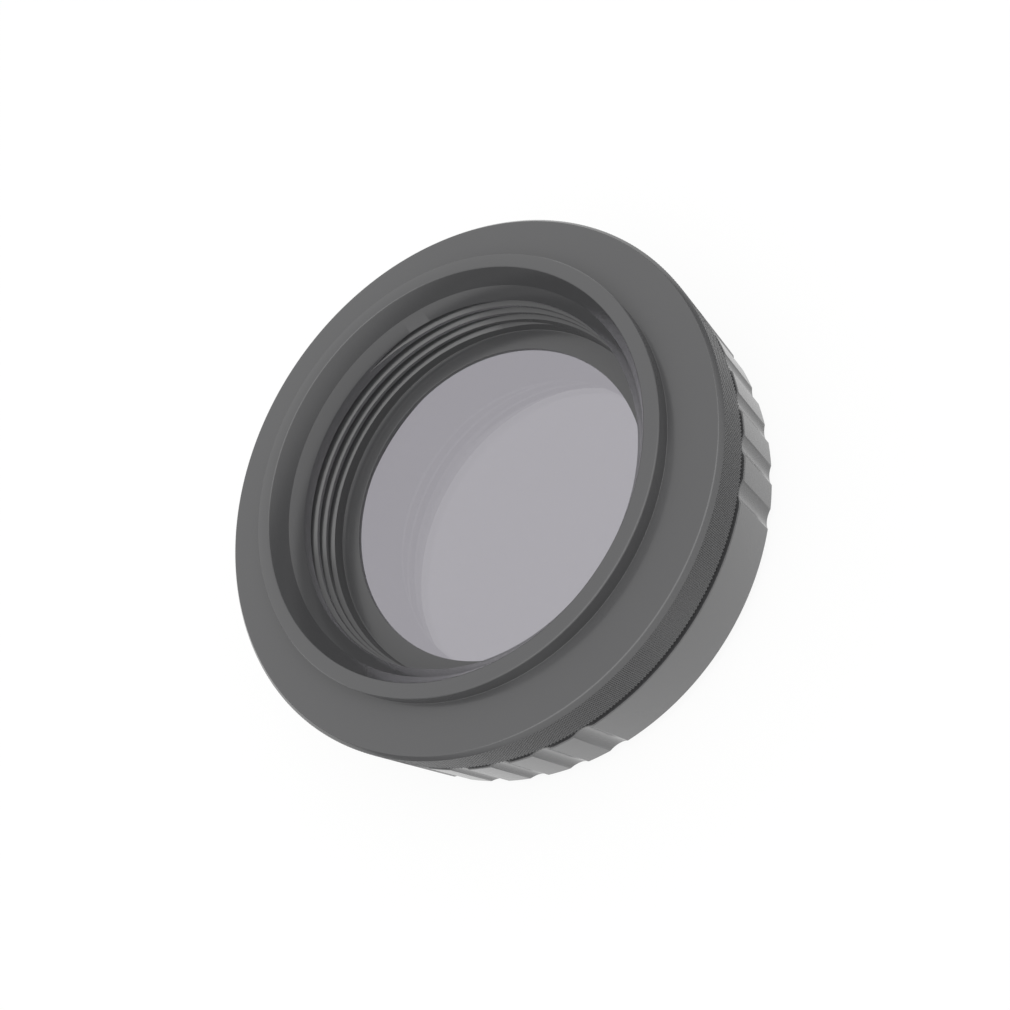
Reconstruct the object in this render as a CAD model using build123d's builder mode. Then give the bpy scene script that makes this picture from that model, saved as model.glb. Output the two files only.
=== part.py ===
from build123d import *
import os

# Screw-on lens filter for an action camera. The rear ring screws to the camera and
# the front ring, which holds the glass, turns on it. The filter lies on its front
# face, with the camera side up. All sizes are in millimetres.

# Camera thread of the rear ring, M27 x 1, drawn plain at its minor diameter
thread_minor_radius = 12.96
thread_bore_height = 4.42
thread_lead_in_width = 0.68
thread_lead_in_height = 0.84

# Aperture lip at the bottom of the thread, and the cone that opens in front of it
lip_width = 1.52
lip_land_height = 0.3
front_cone_height = 1.55

# Collar round the thread, and its flared mouth
collar_wall = 2.34
collar_mouth_height = 1.4
collar_end_face_width = 1.0
collar_edge_break = 0.1

# Rim of the rear ring, with its flat rear face, the flange, out of which the collar stands
rim_height = 3.26
rim_edge_size = 0.3

# Spigot of the rear ring, which the front ring turns on
spigot_wall = 3.64
spigot_nose_width = 2.4
spigot_nose_break = 0.3
thrust_shoulder_width = 0.8
running_clearance = 0.05
ring_gap = 0.45

# Front ring: the band that the fingers turn, and the bezel round the glass
grip_wall = 2.1
grip_band_height = 5.05
bezel_size = 1.0
grip_edge_break = 0.12

# Finger scallops: shallow round grooves along the axis, in groups round the band
scallop_groups = 4
scallops_per_group = 5
scallop_pitch_angle = 9.0
scallop_width = 1.37
scallop_depth = 0.23
first_group_angle = 45.0

# Glass, and the front lip that it is seated on
glass_thickness = 1.0
glass_clearance = 0.05
glass_seat_width = 0.6
front_lip_height = 0.45

# Slotted ring that clamps the glass from behind
retainer_ledge_width = 0.9
retainer_thread_step = 0.5
retainer_thread_clearance = 0.03
retainer_width = 1.32
retainer_height = 0.7
retainer_free_height = 0.15
retainer_relief_height = 0.1
retainer_slot_width = 1.2
retainer_slot_depth = 0.4
nose_free_height = 0.15

# Wire ring that keeps the two rings together
wire_size = 0.8
wire_bite = 0.45
wire_outer_clearance = 0.02
wire_setback = 1.85
wire_groove_spare_depth = 0.1
wire_opening_angle = 24.0

# Radii, worked out from the camera thread outwards
aperture_radius = thread_minor_radius - lip_width
lead_in_radius = thread_minor_radius + thread_lead_in_width
collar_radius = thread_minor_radius + collar_wall
mouth_radius = collar_radius - collar_end_face_width
spigot_radius = thread_minor_radius + spigot_wall
nose_inner_radius = spigot_radius - spigot_nose_width
thrust_shoulder_radius = spigot_radius + thrust_shoulder_width
grip_bore_radius = spigot_radius + running_clearance
outer_radius = grip_bore_radius + grip_wall
retainer_bore_radius = grip_bore_radius - retainer_ledge_width
glass_seat_radius = retainer_bore_radius - retainer_thread_step
glass_radius = glass_seat_radius - glass_clearance
front_lip_radius = glass_radius - glass_seat_width
retainer_radius = retainer_bore_radius - retainer_thread_clearance

# Levels, worked out from the front face upwards
glass_front_level = front_lip_height
glass_rear_level = glass_front_level + glass_thickness
retainer_rear_level = glass_rear_level + retainer_height
retainer_ledge_level = retainer_rear_level + retainer_free_height
nose_level = retainer_ledge_level + nose_free_height
cone_top_level = nose_level + front_cone_height
bore_floor_level = cone_top_level + lip_land_height
bore_top_level = bore_floor_level + thread_bore_height
lead_in_top_level = bore_top_level + thread_lead_in_height
collar_top_level = lead_in_top_level + collar_mouth_height
grip_rear_level = bezel_size + grip_band_height
thrust_shoulder_level = grip_rear_level + running_clearance
rim_front_level = grip_rear_level + ring_gap
flange_level = rim_front_level + rim_height

# Facing grooves for the wire ring: it springs out to the bottom of the groove in the
# front ring, and the groove in the spigot is deep enough to take the whole wire
wire_level = grip_rear_level - wire_setback
wire_groove_height = wire_size + 2 * running_clearance
wire_groove_floor = wire_level - wire_groove_height / 2
wire_groove_roof = wire_level + wire_groove_height / 2
outer_groove_radius = grip_bore_radius + wire_bite
inner_groove_radius = spigot_radius - wire_size - wire_groove_spare_depth
wire_centre_radius = outer_groove_radius - wire_outer_clearance - wire_size / 2

os.makedirs("parts", exist_ok=True)

# Rear ring, turned from one bar: collar, flange, rim, spigot and aperture lip
with BuildPart() as mount_ring:
    with BuildSketch(Plane.XZ) as mount_section:
        with BuildLine():
            Polyline(
                (aperture_radius, cone_top_level),
                (aperture_radius, bore_floor_level),
                (thread_minor_radius, bore_floor_level),
                (thread_minor_radius, bore_top_level),
                (lead_in_radius, lead_in_top_level),
                (mouth_radius, collar_top_level),
                (collar_radius, collar_top_level),
                (collar_radius, flange_level),
                (outer_radius, flange_level),
                (outer_radius, rim_front_level),
                (thrust_shoulder_radius, rim_front_level),
                (thrust_shoulder_radius, thrust_shoulder_level),
                (spigot_radius, thrust_shoulder_level),
                (spigot_radius, wire_groove_roof),
                (inner_groove_radius, wire_groove_roof),
                (inner_groove_radius, wire_groove_floor),
                (spigot_radius, wire_groove_floor),
                (spigot_radius, nose_level),
                (nose_inner_radius, nose_level),
                close=True,
            )
        make_face()
        # The collar's two top edges are broken
        chamfer(mount_section.vertices().group_by(Axis.Y)[-1], collar_edge_break)
        # The rim is chamfered behind the knurl
        rim_corner = mount_section.vertices().group_by(Axis.X)[-1].sort_by(Axis.Y)[-1]
        chamfer(rim_corner, rim_edge_size)
        # The spigot's nose is chamfered so that the wire ring slips over it
        nose_corners = mount_section.vertices().group_by(Axis.Y)[0].sort_by(Axis.X)
        chamfer(nose_corners[-1], spigot_nose_break)
    revolve(axis=Axis.Z)
mount_ring.part.label = "mount_ring"
export_step(mount_ring.part, "parts/mount_ring.step")

# Front ring, turned from one bar and then milled: bezel, glass seat and finger band
with BuildPart() as grip_ring:
    with BuildSketch(Plane.XZ) as grip_section:
        with BuildLine():
            Polyline(
                (front_lip_radius, 0),
                (outer_radius - bezel_size, 0),
                (outer_radius, bezel_size),
                (outer_radius, grip_rear_level),
                (grip_bore_radius, grip_rear_level),
                (grip_bore_radius, wire_groove_roof),
                (outer_groove_radius, wire_groove_roof),
                (outer_groove_radius, wire_groove_floor),
                (grip_bore_radius, wire_groove_floor),
                (grip_bore_radius, retainer_ledge_level),
                (retainer_bore_radius, retainer_ledge_level),
                (retainer_bore_radius, glass_rear_level - retainer_relief_height),
                (glass_seat_radius, glass_rear_level - retainer_relief_height),
                (glass_seat_radius, glass_front_level),
                (front_lip_radius, glass_front_level),
                close=True,
            )
        make_face()
        # The band's rear edge is broken
        rear_corners = grip_section.vertices().group_by(Axis.Y)[-1].sort_by(Axis.X)
        chamfer(rear_corners[-1], grip_edge_break)
    revolve(axis=Axis.Z)
    # A round cutter run along the axis leaves each scallop
    cutter_radius = scallop_width**2 / (8 * scallop_depth) + scallop_depth / 2
    cutter_centre_radius = outer_radius - scallop_depth + cutter_radius
    group_angle = scallop_pitch_angle * (scallops_per_group - 1)
    with BuildSketch() as scallop_plan:
        with PolarLocations(0, scallop_groups, start_angle=first_group_angle):
            with PolarLocations(
                cutter_centre_radius,
                scallops_per_group,
                start_angle=-group_angle / 2,
                angular_range=group_angle,
                endpoint=True,
            ):
                Circle(cutter_radius)
    extrude(amount=grip_rear_level, mode=Mode.SUBTRACT)
grip_ring.part.label = "grip_ring"
export_step(grip_ring.part, "parts/grip_ring.step")

# Glass disc, laid on the front lip from behind
with BuildPart() as filter_glass:
    with BuildSketch(Plane.XY.offset(glass_front_level)):
        Circle(glass_radius)
    extrude(amount=glass_thickness)
filter_glass.part.label = "filter_glass"
export_step(filter_glass.part, "parts/filter_glass.step")

# Retaining ring, screwed down on the glass with a spanner in its two slots
with BuildPart() as glass_retaining_ring:
    with BuildSketch(Plane.XY.offset(glass_rear_level)):
        Circle(retainer_radius)
        Circle(retainer_radius - retainer_width, mode=Mode.SUBTRACT)
    extrude(amount=retainer_height)
    with BuildSketch(Plane.XY.offset(retainer_rear_level)):
        Rectangle(2 * outer_radius, retainer_slot_width)
    extrude(amount=-retainer_slot_depth, mode=Mode.SUBTRACT)
glass_retaining_ring.part.label = "glass_retaining_ring"
export_step(glass_retaining_ring.part, "parts/glass_retaining_ring.step")

# Open ring of square spring wire, sprung into both grooves
with BuildPart() as snap_ring:
    with BuildSketch(Plane.XZ):
        with Locations((wire_centre_radius, wire_level)):
            Rectangle(wire_size, wire_size)
    revolve(axis=Axis.Z, revolution_arc=360 - wire_opening_angle)
snap_ring.part.label = "snap_ring"
export_step(snap_ring.part, "parts/snap_ring.step")
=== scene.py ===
import math

import bmesh
import bpy
from mathutils import Matrix, Vector


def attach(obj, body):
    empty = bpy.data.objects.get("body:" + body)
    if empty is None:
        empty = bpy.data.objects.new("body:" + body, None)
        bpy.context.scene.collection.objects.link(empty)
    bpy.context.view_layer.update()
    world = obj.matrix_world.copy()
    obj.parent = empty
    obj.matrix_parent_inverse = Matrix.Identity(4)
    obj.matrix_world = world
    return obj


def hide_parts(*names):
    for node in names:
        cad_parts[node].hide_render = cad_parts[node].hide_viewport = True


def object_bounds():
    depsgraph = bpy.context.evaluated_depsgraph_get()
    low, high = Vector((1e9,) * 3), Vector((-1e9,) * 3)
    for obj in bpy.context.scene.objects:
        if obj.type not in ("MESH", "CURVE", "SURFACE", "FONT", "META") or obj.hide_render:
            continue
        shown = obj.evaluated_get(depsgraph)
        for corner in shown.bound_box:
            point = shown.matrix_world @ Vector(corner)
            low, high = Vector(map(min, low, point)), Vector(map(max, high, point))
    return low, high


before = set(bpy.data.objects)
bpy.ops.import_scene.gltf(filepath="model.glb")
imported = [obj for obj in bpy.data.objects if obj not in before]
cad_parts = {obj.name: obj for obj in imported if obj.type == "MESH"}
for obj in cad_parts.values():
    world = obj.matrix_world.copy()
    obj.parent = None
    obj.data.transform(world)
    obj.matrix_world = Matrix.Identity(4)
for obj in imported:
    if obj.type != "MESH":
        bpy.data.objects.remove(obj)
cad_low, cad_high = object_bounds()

MM = 0.001

# Rear ring. One piece turned from aluminium bar, with the camera thread cut in its bore
# and a fine diamond knurl rolled round its rim, then bead blasted and anodised dark
# grey. It screws to the camera, and the front ring turns on its spigot.

REAR_COLUMNS = 480
OUTER_RADIUS = cad_high.x / MM
COLLAR_TOP = cad_high.z / MM
COLLAR_RADIUS = 15.3
MOUTH_RADIUS = 14.3
LEAD_IN_RADIUS, LEAD_IN_TOP = 13.64, 9.56
BORE_RADIUS, BORE_TOP, BORE_FLOOR = 12.96, 8.72, 4.3
APERTURE_RADIUS, APERTURE_FRONT = 11.44, 4.0
NOSE_INNER_RADIUS, NOSE_LEVEL = 14.2, 2.45
NOSE_BREAK = 0.3
SPIGOT_RADIUS = 16.6
SHOULDER_RADIUS, SHOULDER_LEVEL = 17.4, 6.1
WIRE_GROOVE_FLOOR, WIRE_GROOVE_ROOF = 3.75, 4.65
SPIGOT_GROOVE_RADIUS = 15.7
RIM_FRONT, FLANGE_LEVEL = 6.5, 9.76
RIM_CHAMFER = 0.3
KNURL_DEPTH = 0.1
KNURL_BREAK = 0.08
KNURL_ROUND, KNURL_ROWS = 480, 12
KNURL_BOTTOM = RIM_FRONT + KNURL_BREAK
KNURL_TOP = FLANGE_LEVEL - RIM_CHAMFER - 0.02
KNURL_HEIGHT = KNURL_TOP - KNURL_BOTTOM

# Radii that the turning tools leave in corners and on edges
TOOL_NOSE = 0.03
FLANGE_CORNER = 0.04
EDGE_ROUND = 0.05
CORNER_ROUND = 0.08
LEAD_IN_ROUND = 0.1
COLLAR_ROUND = 0.12
RIM_ROUND = 0.15

# Edges that turn by more degrees than this stay crisp
SHARPEST = 40
SHARPEST_WITH_KNURL = 24


def soften(corners):
    """Outline points with each corner rounded to its own radius: (x, y, radius, steps)."""
    points = []
    for place, (x, y, radius, steps) in enumerate(corners):
        corner = Vector((x, y))
        if radius == 0:
            points.append(corner)
            continue
        back = (Vector(corners[place - 1][:2]) - corner).normalized()
        ahead = (Vector(corners[(place + 1) % len(corners)][:2]) - corner).normalized()
        half = back.angle(ahead) / 2
        centre = corner + (back + ahead).normalized() * radius / math.sin(half)
        first = corner + back * radius / math.tan(half) - centre
        last = corner + ahead * radius / math.tan(half) - centre
        sweep = first.angle_signed(last)
        for step in range(steps + 1):
            points.append(centre + Matrix.Rotation(-sweep * step / steps, 2) @ first)
    return points


def skin(shape, rows, next_rows):
    """Faces between each row of points and the next one, all round the section."""
    for row, following in zip(rows, next_rows):
        for place in range(len(row)):
            here, beside = row[place - 1], row[place]
            shape.faces.new((here, beside, following[place], following[place - 1]))


def put_in_scene(name, shape):
    """The bmesh as an object, with its faces pointing outwards."""
    bmesh.ops.recalc_face_normals(shape, faces=shape.faces)
    mesh = bpy.data.meshes.new(name)
    shape.to_mesh(mesh)
    shape.free()
    made = bpy.data.objects.new(name, mesh)
    bpy.context.scene.collection.objects.link(made)
    return made


def turned(name, angles, sections):
    """A closed ring: one section of (radius, level) points in millimetres at each angle."""
    shape = bmesh.new()
    up = Vector((0, 0, 1))
    rows = []
    for angle, section in zip(angles, sections):
        around = Vector((math.cos(angle), math.sin(angle), 0))
        rows.append([shape.verts.new((around * r + up * z) * MM) for r, z in section])
    skin(shape, rows, rows[1:] + rows[:1])
    return put_in_scene(name, shape)


def even_turns(count):
    return [math.tau * step / count for step in range(count)]


def finish_edges(made, sharpest):
    """Smooth shading up to that angle in degrees, with flat faces kept flat."""
    for face in made.data.polygons:
        face.use_smooth = True
    made.data.set_sharp_from_angle(angle=math.radians(sharpest))
    even = made.modifiers.new("even shading", "WEIGHTED_NORMAL")
    even.keep_sharp = True


rear_section = soften([
    (OUTER_RADIUS - KNURL_DEPTH / 4, FLANGE_LEVEL - RIM_CHAMFER, 0, 1),
    (OUTER_RADIUS - RIM_CHAMFER, FLANGE_LEVEL, RIM_ROUND, 3),
    (COLLAR_RADIUS, FLANGE_LEVEL, FLANGE_CORNER, 2),
    (COLLAR_RADIUS, COLLAR_TOP, COLLAR_ROUND, 3),
    (MOUTH_RADIUS, COLLAR_TOP, COLLAR_ROUND, 3),
    (LEAD_IN_RADIUS, LEAD_IN_TOP, LEAD_IN_ROUND, 2),
    (BORE_RADIUS, BORE_TOP, EDGE_ROUND, 1),
    (BORE_RADIUS, BORE_FLOOR, CORNER_ROUND, 2),
    (APERTURE_RADIUS, BORE_FLOOR, EDGE_ROUND, 2),
    (APERTURE_RADIUS, APERTURE_FRONT, EDGE_ROUND, 2),
    (NOSE_INNER_RADIUS, NOSE_LEVEL, CORNER_ROUND, 2),
    (SPIGOT_RADIUS - NOSE_BREAK, NOSE_LEVEL, EDGE_ROUND, 1),
    (SPIGOT_RADIUS, NOSE_LEVEL + NOSE_BREAK, EDGE_ROUND, 1),
    (SPIGOT_RADIUS, WIRE_GROOVE_FLOOR, TOOL_NOSE, 1),
    (SPIGOT_GROOVE_RADIUS, WIRE_GROOVE_FLOOR, TOOL_NOSE, 1),
    (SPIGOT_GROOVE_RADIUS, WIRE_GROOVE_ROOF, TOOL_NOSE, 1),
    (SPIGOT_RADIUS, WIRE_GROOVE_ROOF, TOOL_NOSE, 1),
    (SPIGOT_RADIUS, SHOULDER_LEVEL, TOOL_NOSE, 1),
    (SHOULDER_RADIUS, SHOULDER_LEVEL, TOOL_NOSE, 1),
    (SHOULDER_RADIUS, RIM_FRONT, TOOL_NOSE, 1),
    (OUTER_RADIUS - KNURL_DEPTH - KNURL_BREAK, RIM_FRONT, 0, 1),
])
rear_ring = turned("rear_ring", even_turns(REAR_COLUMNS), [rear_section] * REAR_COLUMNS)

# The camera thread, M27 x 1: a right-hand groove with flanks at 60 degrees, which
# starts at the lead-in chamfer and runs out above the aperture lip.

THREAD_PITCH = 1.0
THREAD_DEPTH = 0.54
THREAD_ROOT_FLAT = 0.125
THREAD_FLANK = math.radians(30)
THREAD_START_ANGLE = math.radians(82)
THREAD_START_LEVEL = 8.45
THREAD_TURNS = 3.2
THREAD_RUN_OUT = math.radians(24)
THREAD_STEPS = 800
CUTTER_BACK = 0.12
CUTTER_WELD = 1e-8


def thread_cutter():
    """The helical bar that cuts the groove: its section shrinks to a point at both ends."""
    shape = bmesh.new()
    root = THREAD_ROOT_FLAT / 2
    mouth = root + (THREAD_DEPTH + CUTTER_BACK) * math.tan(THREAD_FLANK)
    corners = [
        (-CUTTER_BACK, mouth),
        (THREAD_DEPTH, root),
        (THREAD_DEPTH, -root),
        (-CUTTER_BACK, -mouth),
    ]
    rows = []
    for step in range(THREAD_STEPS + 1):
        travel = THREAD_TURNS * math.tau * step / THREAD_STEPS
        left = min(travel, THREAD_TURNS * math.tau - travel)
        size = min(1.0, left / THREAD_RUN_OUT)
        angle = THREAD_START_ANGLE - travel
        level = THREAD_START_LEVEL - THREAD_PITCH * travel / math.tau
        around = Vector((math.cos(angle), math.sin(angle), 0))
        row = []
        for out, up in corners:
            place = around * (BORE_RADIUS - CUTTER_BACK + size * (out + CUTTER_BACK))
            row.append(shape.verts.new((place + Vector((0, 0, level + size * up))) * MM))
        rows.append(row)
    skin(shape, rows, rows[1:])
    bmesh.ops.remove_doubles(shape, verts=shape.verts, dist=CUTTER_WELD)
    return put_in_scene("thread_cutter", shape)


def make_plain(made):
    """The object's mesh becomes what its modifiers make of it."""
    depsgraph = bpy.context.evaluated_depsgraph_get()
    mesh = bpy.data.meshes.new_from_object(made.evaluated_get(depsgraph))
    made.modifiers.clear()
    made.data = mesh


cutter = thread_cutter()
cut = rear_ring.modifiers.new("camera thread", "BOOLEAN")
cut.operation = "DIFFERENCE"
cut.solver = "EXACT"
cut.object = cutter
make_plain(rear_ring)
bpy.data.objects.remove(cutter)


def add(tree, kind, inputs=None, **settings):
    """A node with its settings. An input takes a value, a socket or a node's first output."""
    made = tree.nodes.new(kind)
    for name, value in settings.items():
        setattr(made, name, value)
    for key, value in (inputs or {}).items():
        if isinstance(value, bpy.types.Node):
            value = value.outputs[0]
        if isinstance(value, bpy.types.NodeSocket):
            tree.links.new(value, made.inputs[key])
        else:
            made.inputs[key].default_value = value
    return made


# The knurl: crests and groove crossings take turns on a fine grid that is bent round
# the rim, so that every second crossing is a low pyramid.

KNURL_WELD = 1e-6

knurl_tree = bpy.data.node_groups.new("diamond knurl", "GeometryNodeTree")
knurl_sizes = {
    "Crest Radius": OUTER_RADIUS * MM,
    "Depth": KNURL_DEPTH * MM,
    "Bottom": KNURL_BOTTOM * MM,
    "Height": KNURL_HEIGHT * MM,
}
knurl_counts = {"Diamonds Round": KNURL_ROUND, "Diamond Rows": KNURL_ROWS}
knurl_sockets = [("Geometry", "OUTPUT", "Geometry")]
knurl_sockets += [(name, "INPUT", "Float") for name in knurl_sizes]
knurl_sockets += [(name, "INPUT", "Int") for name in knurl_counts]
knurl_sockets += [("Material", "INPUT", "Material")]
for name, side, kind in knurl_sockets:
    knurl_tree.interface.new_socket(name, in_out=side, socket_type="NodeSocket" + kind)

# Each row is one sum: its name, the operation, and the one or two things it works on
knurl_sums = {
    "counts": [
        ("steps round", "MULTIPLY", "Diamonds Round", 2.0),
        ("steps up", "MULTIPLY", "Diamond Rows", 2.0),
        ("points round", "ADD", "steps round", 1.0),
        ("points up", "ADD", "steps up", 1.0),
    ],
    "places": [
        ("index and a half", "ADD", "index", 0.5),
        ("columns passed", "DIVIDE", "index and a half", "points up"),
        ("step round", "FLOOR", "columns passed"),
        ("points passed", "MULTIPLY", "step round", "points up"),
        ("step up", "SUBTRACT", "index", "points passed"),
        ("diagonal", "ADD", "step round", "step up"),
        ("in groove", "MODULO", "diagonal", 2.0),
        ("cut in", "MULTIPLY", "in groove", "Depth"),
        ("radius", "SUBTRACT", "Crest Radius", "cut in"),
        ("share round", "DIVIDE", "step round", "steps round"),
        ("turn", "MULTIPLY", "share round", math.tau),
        ("share up", "DIVIDE", "step up", "steps up"),
        ("rise", "MULTIPLY", "share up", "Height"),
        ("cosine", "COSINE", "turn"),
        ("sine", "SINE", "turn"),
        ("x", "MULTIPLY", "radius", "cosine"),
        ("y", "MULTIPLY", "radius", "sine"),
        ("z", "ADD", "Bottom", "rise"),
    ],
}
given = add(knurl_tree, "NodeGroupInput").outputs
known = {socket.name: socket for socket in given}
known["index"] = add(knurl_tree, "GeometryNodeInputIndex")
for sums in knurl_sums.values():
    for name, operation, *terms in sums:
        inputs = {place: known.get(term, term) for place, term in enumerate(terms)}
        known[name] = add(knurl_tree, "ShaderNodeMath", inputs, operation=operation, label=name)
grid = add(knurl_tree, "GeometryNodeMeshGrid", {
    "Vertices X": known["points round"],
    "Vertices Y": known["points up"],
})
place = add(knurl_tree, "ShaderNodeCombineXYZ", {"X": known["x"], "Y": known["y"], "Z": known["z"]})
bent = add(knurl_tree, "GeometryNodeSetPosition", {"Geometry": grid, "Position": place})
split = add(knurl_tree, "GeometryNodeTriangulate", {"Mesh": bent}, quad_method="SHORTEST_DIAGONAL")
welded = add(knurl_tree, "GeometryNodeMergeByDistance", {"Geometry": split, "Distance": KNURL_WELD})
real = add(knurl_tree, "GeometryNodeRealizeInstances", {"Geometry": welded})
coated = add(knurl_tree, "GeometryNodeSetMaterial", {"Geometry": real, "Material": given["Material"]})
add(knurl_tree, "NodeGroupOutput", {"Geometry": coated})


def linear(code):
    """The linear colour of an sRGB hex value."""
    levels = [int(code[place:place + 2], 16) / 255 for place in (1, 3, 5)]
    return [x / 12.92 if x <= 0.04045 else ((x + 0.055) / 1.055) ** 2.4 for x in levels] + [1.0]


# Fine-blasted aluminium under a dyed oxide layer. The dark dye in the layer's pores
# scatters little light, and the hard clear oxide over it has a soft, mirroring gloss.

ANODISED_GREY = "#4c4c4d"
ANODISED_GREY_DEEP = "#49494a"
OXIDE_IOR = 1.7
ANODISED_ROUGHNESS = 0.18
ROUGHNESS_SPREAD = 0.03
BLAST_GRAIN_PER_METRE = 1 / (0.12 * MM)
BLAST_GRAIN_DETAIL = 2.0
BLAST_GRAIN_HEIGHT = 0.004 * MM
REAR_GRAIN_STRENGTH = 0.5
DYE_CLOUDS_PER_METRE = 1 / (9 * MM)
DYE_CLOUDS_DETAIL = 3.0

# The colour inputs and the colour result of a Mix node
MIX_LOW, MIX_HIGH, MIX_RESULT = 6, 7, 2


def anodised(name, light, deep, roughness, grain_strength):
    """Faint clouds in the dye, and a fine blasted grain in the gloss and the surface."""
    made = bpy.data.materials.new(name)
    made.use_nodes = True
    tree = made.node_tree
    tree.nodes.clear()
    object_place = add(tree, "ShaderNodeTexCoord").outputs["Object"]
    clouds = add(tree, "ShaderNodeTexNoise", {
        "Vector": object_place, "Scale": DYE_CLOUDS_PER_METRE, "Detail": DYE_CLOUDS_DETAIL,
    })
    dye = add(tree, "ShaderNodeMix", {
        "Factor": clouds.outputs["Fac"], MIX_LOW: linear(deep), MIX_HIGH: linear(light),
    }, data_type="RGBA")
    grain = add(tree, "ShaderNodeTexNoise", {
        "Vector": object_place, "Scale": BLAST_GRAIN_PER_METRE, "Detail": BLAST_GRAIN_DETAIL,
    })
    gloss = add(tree, "ShaderNodeMapRange", {
        "Value": grain.outputs["Fac"],
        "To Min": roughness - ROUGHNESS_SPREAD,
        "To Max": roughness + ROUGHNESS_SPREAD,
    })
    blasted = add(tree, "ShaderNodeBump", {
        "Height": grain.outputs["Fac"], "Strength": grain_strength, "Distance": BLAST_GRAIN_HEIGHT,
    })
    surface = add(tree, "ShaderNodeBsdfPrincipled", {
        "Base Color": dye.outputs[MIX_RESULT], "Roughness": gloss, "IOR": OXIDE_IOR, "Normal": blasted,
    })
    add(tree, "ShaderNodeOutputMaterial", {"Surface": surface})
    return made


rear_finish = anodised(
    "blasted grey anodised aluminium",
    ANODISED_GREY, ANODISED_GREY_DEEP, ANODISED_ROUGHNESS, REAR_GRAIN_STRENGTH,
)

knurl = bpy.data.objects.new("knurl", bpy.data.meshes.new("knurl"))
bpy.context.scene.collection.objects.link(knurl)
rolled = knurl.modifiers.new("diamond knurl", "NODES")
rolled.node_group = knurl_tree
knurl_values = {**knurl_sizes, **knurl_counts, "Material": rear_finish}
for item in knurl_tree.interface.items_tree:
    if item.in_out == "INPUT":
        rolled[item.identifier] = knurl_values[item.name]
make_plain(knurl)


def join_knurl(ring, band):
    """The ring with its plain band taken out and the knurled one sewn in at both edges."""
    shape = bmesh.new()
    shape.from_mesh(ring.data)
    rim_radius = (OUTER_RADIUS - 2 * KNURL_DEPTH) * MM
    low, high = KNURL_BOTTOM * MM, KNURL_TOP * MM
    plain = []
    for face in shape.faces:
        middle = face.calc_center_median()
        if middle.xy.length > rim_radius and low < middle.z < high:
            plain.append(face)
    bmesh.ops.delete(shape, geom=plain, context="FACES")
    shape.from_mesh(band.data)
    half_way = (low + high) / 2
    open_edges = [edge for edge in shape.edges if edge.is_boundary]
    for top in (False, True):
        loops = [edge for edge in open_edges if (edge.verts[0].co.z > half_way) == top]
        bmesh.ops.bridge_loops(shape, edges=loops)
    bmesh.ops.recalc_face_normals(shape, faces=shape.faces)
    shape.to_mesh(ring.data)
    shape.free()
    bpy.data.objects.remove(band)


join_knurl(rear_ring, knurl)
rear_ring.data.materials.clear()
rear_ring.data.materials.append(rear_finish)
for face in rear_ring.data.polygons:
    face.material_index = 0
finish_edges(rear_ring, SHARPEST_WITH_KNURL)
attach(rear_ring, "rear")
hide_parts("mount_ring")

# Front ring. One piece turned from aluminium bar, with round finger scallops milled
# along the band in four groups of five, then anodised like the rear ring. The glass
# lies in it behind the bezel, and it turns on the rear ring's spigot.

BEZEL = 1.0
BEZEL_ROUND = 0.12
GRIP_REAR = 6.05
GRIP_REAR_ROUND = 0.1
GRIP_BORE_RADIUS = 16.65
GRIP_GROOVE_RADIUS = 17.1
RETAINER_LEDGE = 2.3
RETAINER_BORE_RADIUS = 15.75
RELIEF_LEVEL = 1.35
GLASS_SEAT_RADIUS, GLASS_FRONT = 15.25, 0.45
LIP_RADIUS = 14.6
LIP_ROUND = 0.2
SCALLOP_GROUPS, SCALLOPS_PER_GROUP = 4, 5
SCALLOP_PITCH = math.radians(9)
FIRST_GROUP = math.radians(45)
SCALLOP_WIDTH, SCALLOP_DEPTH = 1.37, 0.23
SCALLOP_EDGE = 0.07
SCALLOP_STEPS = 10
LAND_STEP = math.radians(1.0)
FRONT_GRAIN_STRENGTH = 0.3


def scalloped_outline():
    """The finger band's plan: round lands and plain stretches with the milled scallops."""
    cutter_radius = SCALLOP_WIDTH**2 / (8 * SCALLOP_DEPTH) + SCALLOP_DEPTH / 2
    cutter_place = OUTER_RADIUS - SCALLOP_DEPTH + cutter_radius
    open_angle = math.acos(
        (cutter_place**2 + cutter_radius**2 - OUTER_RADIUS**2) / (2 * cutter_place * cutter_radius)
    )
    half_width = math.asin(cutter_radius * math.sin(open_angle) / OUTER_RADIUS)
    middles = []
    for group in range(SCALLOP_GROUPS):
        for place in range(SCALLOPS_PER_GROUP):
            aside = place - (SCALLOPS_PER_GROUP - 1) / 2
            middles.append(FIRST_GROUP + math.tau * group / SCALLOP_GROUPS + aside * SCALLOP_PITCH)
    corners = []
    for middle, following in zip(middles, middles[1:] + [middles[0] + math.tau]):
        out = Vector((math.cos(middle), math.sin(middle)))
        aside = Vector((-out.y, out.x))
        for step in range(SCALLOP_STEPS + 1):
            turn = open_angle * (2 * step / SCALLOP_STEPS - 1)
            depth_side = out * (cutter_place - cutter_radius * math.cos(turn))
            spot = depth_side + aside * cutter_radius * math.sin(turn)
            edge = SCALLOP_EDGE if step in (0, SCALLOP_STEPS) else 0
            corners.append((spot.x, spot.y, edge, 3))
        start, end = middle + half_width, following - half_width
        pieces = math.ceil((end - start) / LAND_STEP)
        for step in range(1, pieces):
            angle = start + (end - start) * step / pieces
            corners.append((OUTER_RADIUS * math.cos(angle), OUTER_RADIUS * math.sin(angle), 0, 1))
    return soften(corners)


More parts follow.
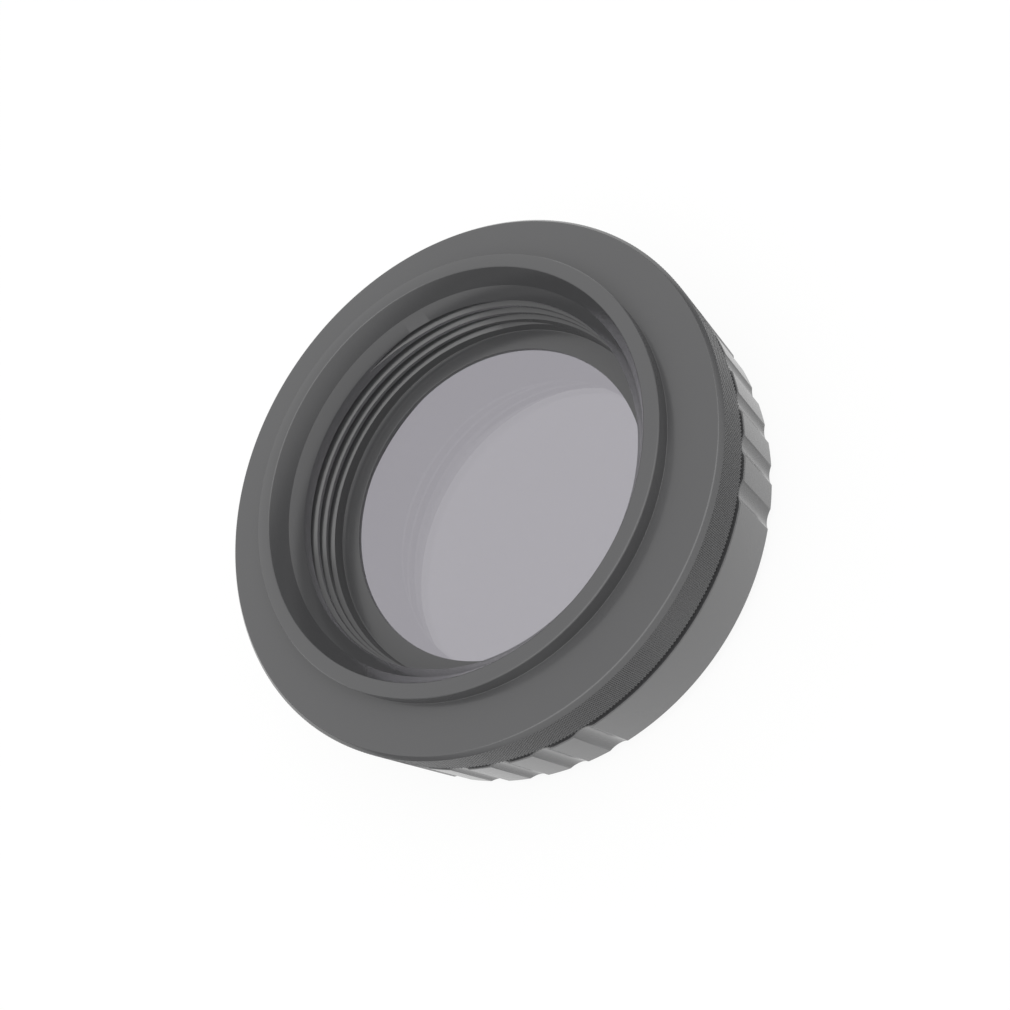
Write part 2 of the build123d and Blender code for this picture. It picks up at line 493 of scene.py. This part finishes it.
def front_section(band_radius):
    """The front ring's section where its band has that radius."""
    cut_in = OUTER_RADIUS - band_radius
    return soften([
        (LIP_RADIUS, GLASS_FRONT, 0, 1),
        (LIP_RADIUS, 0, LIP_ROUND, 3),
        (OUTER_RADIUS - BEZEL, 0, BEZEL_ROUND, 2),
        (band_radius, BEZEL - cut_in, BEZEL_ROUND, 2),
        (band_radius, GRIP_REAR, GRIP_REAR_ROUND, 2),
        (GRIP_BORE_RADIUS, GRIP_REAR, EDGE_ROUND, 1),
        (GRIP_BORE_RADIUS, WIRE_GROOVE_ROOF, 0, 1),
        (GRIP_GROOVE_RADIUS, WIRE_GROOVE_ROOF, 0, 1),
        (GRIP_GROOVE_RADIUS, WIRE_GROOVE_FLOOR, 0, 1),
        (GRIP_BORE_RADIUS, WIRE_GROOVE_FLOOR, 0, 1),
        (GRIP_BORE_RADIUS, RETAINER_LEDGE, 0, 1),
        (RETAINER_BORE_RADIUS, RETAINER_LEDGE, 0, 1),
        (RETAINER_BORE_RADIUS, RELIEF_LEVEL, 0, 1),
        (GLASS_SEAT_RADIUS, RELIEF_LEVEL, 0, 1),
        (GLASS_SEAT_RADIUS, GLASS_FRONT, 0, 1),
    ])


outline = scalloped_outline()
front_ring = turned(
    "front_ring",
    [math.atan2(spot.y, spot.x) for spot in outline],
    [front_section(spot.length) for spot in outline],
)

# The same dark oxide on finely turned metal: the gloss is alike and the grain is fainter.
front_finish = anodised(
    "fine turned grey anodised aluminium",
    ANODISED_GREY, ANODISED_GREY_DEEP, ANODISED_ROUGHNESS, FRONT_GRAIN_STRENGTH,
)
front_ring.data.materials.append(front_finish)
finish_edges(front_ring, SHARPEST)
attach(front_ring, "front")
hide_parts("grip_ring")

# Glass. A ground and polished disc with the grey polarising film laminated inside it,
# laid on the front ring's lip from behind. It passes about a third of the light.

GLASS_COLUMNS = 240
GLASS_RADIUS, GLASS_REAR = 15.2, 1.45
GLASS_EDGE = 0.12
GLASS_WELD = 1e-7
GLASS_SHORTEST_EDGE = 1e-8
GLASS_SMALLEST_FACE = 1e-14

glass_section = [
    Vector((0.0, GLASS_FRONT)),
    Vector((GLASS_RADIUS - GLASS_EDGE, GLASS_FRONT)),
    Vector((GLASS_RADIUS, GLASS_FRONT + GLASS_EDGE)),
    Vector((GLASS_RADIUS, GLASS_REAR - GLASS_EDGE)),
    Vector((GLASS_RADIUS - GLASS_EDGE, GLASS_REAR)),
    Vector((0.0, GLASS_REAR)),
]
glass_disc = turned("glass_disc", even_turns(GLASS_COLUMNS), [glass_section] * GLASS_COLUMNS)

# The section runs down the axis, where its points are welded and its empty faces go
disc = bmesh.new()
disc.from_mesh(glass_disc.data)
bmesh.ops.remove_doubles(disc, verts=disc.verts, dist=GLASS_WELD)
bmesh.ops.dissolve_degenerate(disc, edges=disc.edges, dist=GLASS_SHORTEST_EDGE)
empty = [face for face in disc.faces if face.calc_area() < GLASS_SMALLEST_FACE]
bmesh.ops.delete(disc, geom=empty, context="FACES")
bmesh.ops.recalc_face_normals(disc, faces=disc.faces)
disc.to_mesh(glass_disc.data)
disc.free()

# Clear polished glass round a neutral grey film: an even grey that is a little violet,
# with a sharp mirror gloss and no grain.

GLASS_TINT = "#a5a3a9"
GLASS_TINT_DEEP = "#a3a1a7"
GLASS_IOR = 1.6
FILM_CLOUDS_PER_METRE = 1 / (14 * MM)
FILM_CLOUDS_DETAIL = 1.0

glass = bpy.data.materials.new("polished grey polariser glass")
glass.use_nodes = True
tree = glass.node_tree
tree.nodes.clear()
object_place = add(tree, "ShaderNodeTexCoord").outputs["Object"]
film = add(tree, "ShaderNodeTexNoise", {
    "Vector": object_place, "Scale": FILM_CLOUDS_PER_METRE, "Detail": FILM_CLOUDS_DETAIL,
})
tint = add(tree, "ShaderNodeMix", {
    "Factor": film.outputs["Fac"], MIX_LOW: linear(GLASS_TINT_DEEP), MIX_HIGH: linear(GLASS_TINT),
}, data_type="RGBA")
polished = add(tree, "ShaderNodeBsdfPrincipled", {
    "Base Color": tint.outputs[MIX_RESULT],
    "Roughness": 0.0,
    "IOR": GLASS_IOR,
    "Transmission Weight": 1.0,
})
add(tree, "ShaderNodeOutputMaterial", {"Surface": polished})
glass_disc.data.materials.append(glass)
finish_edges(glass_disc, SHARPEST)
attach(glass_disc, "front")
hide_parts("filter_glass")

# Retaining ring and wire ring. The black anodised retaining ring screws down on the
# glass from behind. The open ring of drawn spring steel wire holds the two rings
# together. Both keep the shapes of the CAD solids, because they are hidden.

# The black dye swallows nearly all light and the matt surface blurs the rest. The wire
# has steel's pale grey on the same oxide gloss, and stands in for bare drawn metal.
hidden_finishes = {
    "glass_retaining_ring": ("matt black anodised aluminium", "#1c1c1e", "#161618", 0.5, 0.3),
    "snap_ring": ("drawn spring steel", "#b6b2aa", "#a39e96", 0.3, 0.2),
}
for node, finish in hidden_finishes.items():
    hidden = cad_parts[node]
    hidden.data.materials.clear()
    hidden.data.materials.append(anodised(*finish))

# Floor, surround and softbox. The floor is pale and matt, and is seen, mirrored and seen
# through the glass as nearly plain white. The surround is pale overhead and dark just
# above the floor, and one large softbox hangs overhead, a little on the camera's side.

FLOOR_PALE = "#f4f4f3"
FLOOR_SIZE = 4.0
FLOOR_WHITENESS = 0.9
WHITE = (1.0, 1.0, 1.0, 1.0)
SURROUND_DARK, SURROUND_PALE = 0.1, 0.9
DARK_TOP, PALE_START = 0.15, 0.3
SOFTBOX_LIGHT = 1.05
SOFTBOX_ELEVATION = math.radians(72)
SOFTBOX_DISTANCE = 0.6
SOFTBOX_WIDTH, SOFTBOX_LENGTH = 1.08, 0.62

floor_mesh = bpy.data.meshes.new("floor")
half = FLOOR_SIZE / 2
floor_corners = [(-half, -half, 0), (half, -half, 0), (half, half, 0), (-half, half, 0)]
floor_mesh.from_pydata(floor_corners, [], [(0, 1, 2, 3)])
floor = bpy.data.objects.new("floor", floor_mesh)
bpy.context.scene.collection.objects.link(floor)

pale = bpy.data.materials.new("pale matt floor")
pale.use_nodes = True
tree = pale.node_tree
tree.nodes.clear()
path = add(tree, "ShaderNodeLightPath").outputs
looked_at = add(tree, "ShaderNodeMath", {
    0: path["Is Camera Ray"], 1: path["Is Glossy Ray"],
}, operation="MAXIMUM")
whitened = add(tree, "ShaderNodeMath", {0: looked_at, 1: FLOOR_WHITENESS}, operation="MULTIPLY")
shown = add(tree, "ShaderNodeMath", {0: whitened, 1: path["Is Transmission Ray"]}, operation="MAXIMUM")
matt = add(tree, "ShaderNodeBsdfDiffuse", {"Color": linear(FLOOR_PALE)})
white = add(tree, "ShaderNodeEmission", {"Color": WHITE, "Strength": 1.0})
blend = add(tree, "ShaderNodeMixShader", {0: shown, 1: matt, 2: white})
add(tree, "ShaderNodeOutputMaterial", {"Surface": blend})
floor_mesh.materials.append(pale)

world = bpy.data.worlds.new("studio surround")
bpy.context.scene.world = world
world.use_nodes = True
tree = world.node_tree
tree.nodes.clear()
path = add(tree, "ShaderNodeLightPath").outputs
direction = add(tree, "ShaderNodeTexCoord").outputs["Generated"]
height = add(tree, "ShaderNodeSeparateXYZ", {0: direction}).outputs["Z"]
dome = add(tree, "ShaderNodeMapRange", {
    "Value": height,
    "From Min": DARK_TOP,
    "From Max": PALE_START,
    "To Min": SURROUND_DARK,
    "To Max": SURROUND_PALE,
})
surround = add(tree, "ShaderNodeBackground", {"Color": WHITE, "Strength": dome})
backdrop = add(tree, "ShaderNodeBackground", {"Color": WHITE, "Strength": 1.0})
looked_at = add(tree, "ShaderNodeMath", {
    0: path["Is Camera Ray"], 1: path["Is Transmission Ray"],
}, operation="MAXIMUM")
blend = add(tree, "ShaderNodeMixShader", {0: looked_at, 1: surround, 2: backdrop})
add(tree, "ShaderNodeOutputWorld", {"Surface": blend})

softbox = bpy.data.objects.new("softbox", bpy.data.lights.new("softbox", "AREA"))
bpy.context.scene.collection.objects.link(softbox)
softbox.data.shape = "RECTANGLE"
softbox.data.size, softbox.data.size_y = SOFTBOX_WIDTH, SOFTBOX_LENGTH
softbox.data.energy = SOFTBOX_LIGHT * math.pi * SOFTBOX_WIDTH * SOFTBOX_LENGTH
hung = Matrix.Rotation(math.pi / 2 - SOFTBOX_ELEVATION, 4, "X")
softbox.matrix_world = hung @ Matrix.Translation((0, 0, SOFTBOX_DISTANCE))

# Camera, where the photograph's camera stood: it looks down at the collar, 37 degrees
# off the filter's axis, and is rolled so that the collar points up and to the left.

SENSOR_WIDTH = 36.0
CAMERA_LENS = 39.95
CAMERA_TILT = math.radians(37.25)
CAMERA_ROLL = math.radians(-56.49)
CAMERA_DISTANCE = 73.4
CAMERA_RIGHT, CAMERA_UP = 3.56, -2.22
CAMERA_NEAREST = 1 * MM
AIM_LEVEL = 9.56

bpy.context.scene.view_settings.view_transform = "Standard"
camera = bpy.data.objects.new("camera", bpy.data.cameras.new("camera"))
bpy.context.scene.collection.objects.link(camera)
bpy.context.scene.camera = camera
camera.data.sensor_width = SENSOR_WIDTH
camera.data.lens = CAMERA_LENS
camera.data.clip_start = CAMERA_NEAREST
turned_view = Matrix.Rotation(CAMERA_TILT, 3, "X") @ Matrix.Rotation(CAMERA_ROLL, 3, "Z")
stand = turned_view @ Vector((CAMERA_RIGHT, CAMERA_UP, CAMERA_DISTANCE)) + Vector((0, 0, AIM_LEVEL))
camera.matrix_world = Matrix.Translation(stand * MM) @ turned_view.to_4x4()
